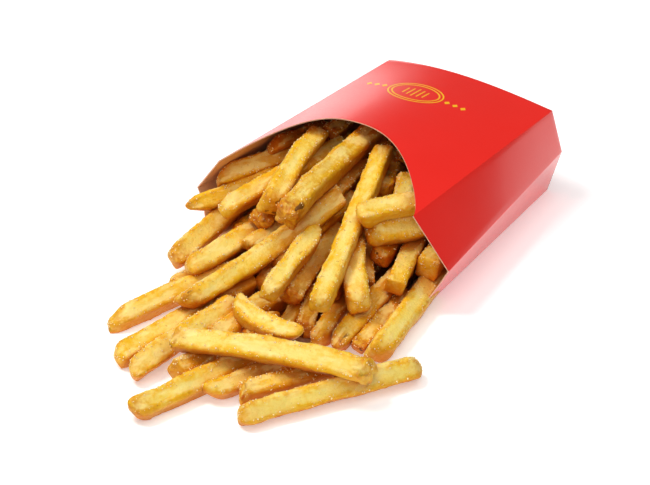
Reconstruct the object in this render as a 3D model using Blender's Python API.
"""French fries spilling out of a folded board scoop carton that lies on its back.

There are two solids. The carton is one thin folded sheet with an open end, cut away in
front by the scoop. The heap is one solid out to the uneven outline of its fries, and it
keeps a small gap to the board all round.

Lengths are in millimetres and turn into metres where the vertices are made. While the
shapes are drawn, the carton's closed end is near y = 0, its mouth faces -Y and the
surface it lies on is z = 0. The last step centres the footprint on the origin.
"""
import math
from collections import namedtuple

import bmesh
import bpy
from mathutils import Matrix, Vector

MM = 0.001

# The carton's folded sheet. Each crease runs from the closed end to the mouth.
BOARD = 0.5
WELD = 0.01
Crease = namedtuple("Crease", "closed mouth")
FRONT_LEFT = Crease((-44, -3, 43.5), (-49.8, -127.3, 40))
FRONT_RIGHT = Crease((44, -3, 41), (49.8, -127.3, 43.7))
FOLD_LEFT = Crease((-48.5, 0, 20.5), (-65.3, -123.6, 21))
FOLD_RIGHT = Crease((48.5, 0, 20.5), (65.3, -123.6, 21))
BACK_LEFT = Crease((-43, -1.5, 0), (-54.7, -131.9, 0))
BACK_RIGHT = Crease((43, -1.5, 0), (54.7, -131.9, 0))

# The front panel bows up under its load, more towards the mouth, with its crest to the left.
BOW_CLOSED = 2.5
BOW_MOUTH = 11.0
CREST_LEAN = 0.4
# The scoop, the closed end's curved creases and the back panel's lip.
SCOOP_DEPTH = 49.2
SCOOP_FULLNESS = 2.67
SCOOP_ROUNDNESS = 0.73
SCOOP_SKEW = 0.3
FRONT_END_ARC = 2.2
BACK_END_ARC = 4.0
LIP_DEPTH = 19.0
SIDE_EDGE_BOW = 2.0
END_RECESS = 4.0
PANEL_COLUMNS = 18
HALF_SIDE_COLUMNS = 3
SHEET_ROWS = 12
# The gap that the heap keeps to the board all round.
BOARD_SWELL = 0.45

# The fries. A fry is a square stick given by its loose end, its tucked end and its side,
# each end as x, y and a layer: layer 0 lies on the surface and each layer is one fry up.
LAYER_STEP = 9.0
LAYER_BASE = 4.5
Fry = namedtuple("Fry", "loose tucked side")
FRONT_ROW = (
    Fry((44, -239, 0), (82, -170, 0.2), 9),
    Fry((9.7, -259.8, 0), (28.2, -193, 0.2), 9),
    Fry((23.5, -232.4, 0), (37.5, -189, 0), 8.5),
    Fry((36, -227, 0.2), (58, -185, 0), 8),
    Fry((7, -230.7, 0.3), (13.6, -201, 0.2), 8.5),
    Fry((-1, -222, 1.1), (76, -196, 1), 9),
)
LEFT_FLOOR = (
    Fry((-21, -233, 0), (-9, -158, 0.4), 8.5),
    Fry((-9.9, -238.2, 0), (-4.5, -178, 0.5), 9),
    Fry((-41.8, -213, 0), (-18, -143, 0.4), 8.5),
    Fry((-36.5, -176, 0), (-27, -127, 0.1), 8),
)
RIGHT_FLOOR = (
    Fry((62, -173, 0), (44, -92, 0.1), 9.5),
    Fry((44, -177.5, 0), (38, -103, 0.5), 9),
    Fry((37.8, -176.2, 0), (20.2, -104.1, 0.3), 7.5),
    Fry((29, -175, 0.3), (-5, -112, 0.3), 7.5),
    Fry((52.5, -172, -0.1), (44, -125.5, -0.1), 7),
    Fry((1.5, -200, 0.1), (7, -156, 0.3), 8.5),
)
LEFT_MIDDLE = (
    Fry((-45.9, -166.4, 0.8), (-53.5, -92, 1.5), 9.5),
    Fry((-31.3, -173.3, 0.9), (-25, -101, 1.6), 9.5),
    Fry((-22, -147, 1.2), (-12, -86, 1.2), 7.5),
    Fry((-59.2, -139.3, 1.5), (-40, -88, 1.8), 8.5),
    Fry((-54, -122, 2.3), (-35, -50, 2.4), 8.5),
    Fry((-38, -140, 2.2), (-28, -63, 2.4), 8.5),
    Fry((-22, -136, 1.93), (-32, -72, 1.8), 9),
    Fry((-49.5, -94, 2.8), (-45, -56, 2.6), 7),
)
RIGHT_MIDDLE = (
    Fry((0.3, -183.5, 1), (35.6, -185.5, 0.9), 8.5),
    Fry((17.5, -169, 0.9), (-4, -106, 0.9), 7.5),
    Fry((-2, -151, 1.2), (-5, -89, 1.5), 8),
    Fry((46, -159, 1.2), (18, -120, 2), 9.5),
    Fry((34.3, -138.1, 0.8), (6.3, -98.2, 1), 7.5),
    Fry((32, -126, 1.4), (14, -62, 1.4), 9),
    Fry((48, -138, 1), (24, -70, 1.4), 8.5),
    Fry((51, -118, 1.1), (38, -45, 1.4), 9.5),
    Fry((27, -126, 2.4), (50, -84, 2.4), 9.5),
    Fry((-7, -105, 2.3), (-12.5, -72, 2.4), 8),
    Fry((10.5, -90, 2.6), (-9.5, -46, 2.2), 9),
)
TOP = (
    Fry((-15, -197, 1), (-1, -108, 2.7), 9),
    Fry((14.5, -181.5, 1.6), (7, -132.5, 2.5), 8),
    Fry((38.5, -177, 1.8), (0.4, -72.7, 3.6), 8),
    Fry((-15.8, -136.5, 2.9), (-34.5, -75.7, 3.35), 9.5),
    Fry((1, -149, 3.5), (-13, -63, 3.6), 9.5),
    Fry((22, -128, 3.3), (46, -88, 3.1), 9),
    Fry((14, -77, 2.8), (29, -104, 2.2), 8),
    Fry((-33, -67, 3), (-36, -46, 3.2), 7.5),
    Fry((-10.5, -61, 2.7), (-16, -40, 3), 8),
    Fry((4, -66, 2.9), (-3, -47, 2.6), 8),
)
HEROES = FRONT_ROW + LEFT_FLOOR + RIGHT_FLOOR + LEFT_MIDDLE + RIGHT_MIDDLE + TOP
# The share of its side that each of a fry's edges is cut back by.
EDGE_ROUNDING = 0.22
# No fry lies lower than this above the surface.
SURFACE_GAP = 0.1
# Fries lie at different rolls: each one is this much further round, within the range.
ROLL_STEP = 37
ROLL_RANGE = 44
# Stations along a fry, from its loose end: share of its length, share of its full side.
STATIONS = ((0, 0.72), (0.05, 1), (0.5, 1.04), (0.95, 1), (1, 0.72))

# The packed middle of the heap, closed end to toe: y, left x, right x, top z.
MOUND = (
    (-12, -39, 39, 19),
    (-35, -42, 42, 25),
    (-75, -45, 45, 26),
    (-110, -46, 46, 23),
    (-135, -42, 46, 18),
    (-160, -34, 46, 12),
    (-185, -24, 44, 8),
    (-212, -6, 44, 7),
    (-228, 12, 40, 4.5),
)
MOUND_SIDES = 16
# 0 makes the mound's section round and 1 makes it square.
MOUND_SQUARENESS = 0.5

RED = (0.80, 0.055, 0.035, 1.0)
GOLD = (0.86, 0.52, 0.10, 1.0)


def clear_scene():
    """Remove every object, so that the script always starts from nothing."""
    for obj in list(bpy.data.objects):
        bpy.data.objects.remove(obj, do_unlink=True)


def make_material(name, colour, roughness):
    """A Principled material of one colour."""
    material = bpy.data.materials.new(name)
    material.use_nodes = True
    shader = material.node_tree.nodes["Principled BSDF"]
    shader.inputs["Base Color"].default_value = colour
    shader.inputs["Roughness"].default_value = roughness
    shader.inputs["Metallic"].default_value = 0.0
    return material


def make_object(name, bm, material=None):
    """An object in the scene from a bmesh drawn in millimetres."""
    bmesh.ops.scale(bm, vec=(MM, MM, MM), verts=bm.verts)
    mesh = bpy.data.meshes.new(name)
    bm.to_mesh(mesh)
    bm.free()
    obj = bpy.data.objects.new(name, mesh)
    bpy.context.scene.collection.objects.link(obj)
    if material:
        mesh.materials.append(material)
    return obj


def hide_as_tool(obj):
    """Mark a cutter, which is not part of the object."""
    obj.hide_render = True
    obj.display_type = "WIRE"


def mix(a, b, share):
    """The point or number that lies the given share of the way from a to b."""
    if isinstance(a, (int, float)):
        return a + (b - a) * share
    return Vector(a).lerp(Vector(b), share)


# --- the carton -------------------------------------------------------------------------


def front_point(across, along):
    """A point of the front panel: across is -1 to 1, along runs closed end to scoop."""
    closed_y = FRONT_LEFT.closed[1] + FRONT_END_ARC * (1 - across**2)
    leaning = across + SCOOP_SKEW * (1 - across**2)
    scoop = SCOOP_DEPTH * (1 - abs(leaning) ** SCOOP_FULLNESS) ** SCOOP_ROUNDNESS
    y = mix(closed_y, FRONT_LEFT.mouth[1] + scoop, along)
    depth = (y - FRONT_LEFT.closed[1]) / (FRONT_LEFT.mouth[1] - FRONT_LEFT.closed[1])
    left = mix(FRONT_LEFT.closed, FRONT_LEFT.mouth, depth)
    right = mix(FRONT_RIGHT.closed, FRONT_RIGHT.mouth, depth)
    bow = mix(BOW_CLOSED, BOW_MOUTH, max(depth, 0)) * (1 - across**2) * (1 - CREST_LEAN * across)
    point = mix(left, right, (across + 1) / 2)
    return Vector((point.x, y, point.z + bow))


def back_point(across, along):
    """A point of the flat back panel, from its curved end crease to its rounded lip."""
    closed_y = BACK_LEFT.closed[1] + BACK_END_ARC * (1 - across**2)
    mouth_y = BACK_LEFT.mouth[1] - LIP_DEPTH * (1 - across**2)
    y = mix(closed_y, mouth_y, along)
    depth = (y - BACK_LEFT.closed[1]) / (BACK_LEFT.mouth[1] - BACK_LEFT.closed[1])
    half_width = mix(BACK_RIGHT.closed[0], BACK_RIGHT.mouth[0], min(depth, 1))
    return Vector((across * half_width, y, 0))


def side_point(upper, lower, around, along, bow):
    """A point of half a side panel, between the upper and the lower crease."""
    closed = mix(upper.closed, lower.closed, around)
    mouth = mix(upper.mouth, lower.mouth, around)
    mouth.y += bow * 4 * around * (1 - around)
    return mix(closed, mouth, along)


def shares(count):
    """Evenly spaced numbers from 0 to 1."""
    return [i / count for i in range(count + 1)]


def panel_grids():
    """The six panels of the sleeve, each as rows of points from closed end to mouth."""
    front = [[front_point(2 * u - 1, v) for v in shares(SHEET_ROWS)] for u in shares(PANEL_COLUMNS)]
    back = [[back_point(2 * u - 1, v) for v in shares(SHEET_ROWS)] for u in shares(PANEL_COLUMNS)]
    halves = (
        (FRONT_LEFT, FOLD_LEFT, 0),
        (FOLD_LEFT, BACK_LEFT, SIDE_EDGE_BOW),
        (FRONT_RIGHT, FOLD_RIGHT, 0),
        (FOLD_RIGHT, BACK_RIGHT, SIDE_EDGE_BOW),
    )
    sides = [
        [[side_point(upper, lower, u, v, bow) for v in shares(SHEET_ROWS)]
         for u in shares(HALF_SIDE_COLUMNS)]
        for upper, lower, bow in halves
    ]
    return [front, back] + sides


def end_grid(grids):
    """The closed end: a panel dished inwards between the two curved creases."""
    front, back, left_top, left_low, right_top, right_low = grids
    left = [column[0] for column in left_top + left_low[1:]]
    right = [column[0] for column in right_top + right_low[1:]]
    rows = []
    for i, (start, end) in enumerate(zip(left, right)):
        down = i / (len(left) - 1)
        row = []
        for j, across in enumerate(shares(PANEL_COLUMNS)):
            edge = mix(front[j][0], back[j][0], down)
            straight = mix(mix(front[0][0], back[0][0], down), mix(front[-1][0], back[-1][0], down), across)
            point = edge + mix(start, end, across) - straight
            point.y -= END_RECESS * math.sin(math.pi * down) * math.sin(math.pi * across)
            row.append(point)
        rows.append(row)
    return rows


def add_grid(bm, grid):
    """Quads between neighbouring rows of points."""
    verts = [[bm.verts.new(point) for point in row] for row in grid]
    for row, following in zip(verts, verts[1:]):
        for a, b, c, d in zip(row, row[1:], following[1:], following):
            bm.faces.new((a, b, c, d))


def carton_sheet():
    """The carton's outer surface as one open sheet, its normals pointing out."""
    bm = bmesh.new()
    grids = panel_grids()
    for grid in grids + [end_grid(grids)]:
        add_grid(bm, grid)
    bmesh.ops.remove_doubles(bm, verts=bm.verts, dist=WELD)
    bmesh.ops.recalc_face_normals(bm, faces=bm.faces)
    lowest = min(bm.faces, key=lambda face: face.calc_center_median().z)
    if lowest.normal.z > 0:
        bmesh.ops.reverse_faces(bm, faces=bm.faces)
    return bm


def thicken(obj):
    """Turn the sheet into board, inwards from its outer surface."""
    solidify = obj.modifiers.new("Board", "SOLIDIFY")
    solidify.thickness = BOARD * MM
    solidify.offset = -1
    solidify.use_even_offset = True
    solidify.use_rim = True


def build_carton():
    """The board carton."""
    carton = make_object("carton", carton_sheet(), make_material("red_board", RED, 0.45))
    thicken(carton)
    return carton


def build_clearance():
    """The carton's board swollen all round, which the heap keeps out of."""
    clearance = make_object("clearance_cutter", carton_sheet())
    thicken(clearance)
    swell = clearance.modifiers.new("Swell", "DISPLACE")
    swell.mid_level = 0
    swell.strength = BOARD_SWELL * MM
    hide_as_tool(clearance)
    return clearance


# --- the heap ---------------------------------------------------------------------------


def fry_end(end):
    """An end's position from its x, y and layer."""
    x, y, layer = end
    return Vector((x, y, LAYER_BASE + LAYER_STEP * layer))


def section_corners(side):
    """A square with cut corners, in the plane across a fry."""
    half = side / 2
    cut = side * EDGE_ROUNDING
    quarter = ((half, half - cut), (half - cut, half))
    corners = []
    for turn in range(4):
        rotation = Matrix.Rotation(math.radians(90 * turn), 2)
        corners += [rotation @ Vector(corner) for corner in quarter]
    return corners


def fry_roll(number):
    """A fry's roll about its own length, which steps through the range."""
    return math.radians(number * ROLL_STEP % ROLL_RANGE - ROLL_RANGE / 2)


def fry_stick(fry, roll):
    """One fry as a closed stick with slightly narrowed ends."""
    loose, tucked = fry_end(fry.loose), fry_end(fry.tucked)
    forward = (tucked - loose).normalized()
    sideways = forward.cross(Vector((0, 0, 1))).normalized()
    sideways.rotate(Matrix.Rotation(roll, 3, forward))
    upwards = sideways.cross(forward)
    bm = bmesh.new()
    rings = []
    for share, size in STATIONS:
        centre = loose.lerp(tucked, share)
        ring = [centre + (sideways * u + upwards * v) * size for u, v in section_corners(fry.side)]
        rings.append([bm.verts.new(point) for point in ring])
    close_tube(bm, rings)
    sunk = SURFACE_GAP - min(vert.co.z for vert in bm.verts)
    bmesh.ops.translate(bm, verts=bm.verts, vec=(0, 0, max(sunk, 0)))
    return bm


def close_tube(bm, rings):
    """Walls between the rings and a cap on each end, all facing out."""
    for ring, following in zip(rings, rings[1:]):
        for i in range(len(ring)):
            j = (i + 1) % len(ring)
            bm.faces.new((ring[i], ring[j], following[j], following[i]))
    bm.faces.new(rings[0])
    bm.faces.new(rings[-1])
    bmesh.ops.recalc_face_normals(bm, faces=bm.faces)


def mound_stick():
    """The packed middle of the heap: a flat-bottomed loaf that thins out towards its toe."""
    bm = bmesh.new()
    rings = []
    for y, left, right, top in MOUND:
        middle = (left + right) / 2
        half_width = (right - left) / 2
        ring = []
        for i in range(MOUND_SIDES):
            angle = 2 * math.pi * i / MOUND_SIDES
            across, up = math.cos(angle), math.sin(angle)
            square = max(abs(across), abs(up)) ** MOUND_SQUARENESS
            z = top / 2 + top / 2 * up / square
            ring.append(bm.verts.new((middle + half_width * across / square, y, max(z, SURFACE_GAP))))
        rings.append(ring)
    close_tube(bm, rings)
    return bm


def add_boolean(obj, operation, collection=None, cutter=None):
    """An exact Boolean with one object or with all of a collection."""
    boolean = obj.modifiers.new(operation.title(), "BOOLEAN")
    boolean.operation = operation
    boolean.solver = "EXACT"
    if collection:
        boolean.operand_type = "COLLECTION"
        boolean.collection = collection
    else:
        boolean.object = cutter


def build_heap():
    """The heap: the mound and every fry joined, cut clear of the board."""
    heap = make_object("fries", mound_stick(), make_material("fried_potato", GOLD, 0.5))
    sticks = bpy.data.collections.new("sticks")
    bpy.context.scene.collection.children.link(sticks)
    for number, fry in enumerate(HEROES):
        stick = make_object(f"stick_{number:02d}", fry_stick(fry, fry_roll(number)))
        bpy.context.scene.collection.objects.unlink(stick)
        sticks.objects.link(stick)
        hide_as_tool(stick)
    add_boolean(heap, "UNION", collection=sticks)
    add_boolean(heap, "DIFFERENCE", cutter=build_clearance())
    return heap


def centre_on_footprint(objects):
    """Move everything so that the middle of the object's footprint is the origin."""
    bpy.context.view_layer.update()
    depsgraph = bpy.context.evaluated_depsgraph_get()
    points = [vert.co.copy() for obj in objects for vert in obj.evaluated_get(depsgraph).data.vertices]
    low = Vector(min(point[axis] for point in points) for axis in range(3))
    high = Vector(max(point[axis] for point in points) for axis in range(3))
    footprint = bpy.data.objects.new("footprint", None)
    bpy.context.scene.collection.objects.link(footprint)
    for obj in bpy.data.objects:
        if obj is not footprint:
            obj.parent = footprint
    footprint.location = (-(low.x + high.x) / 2, -(low.y + high.y) / 2, -low.z)


def main():
    clear_scene()
    centre_on_footprint([build_carton(), build_heap()])


main()
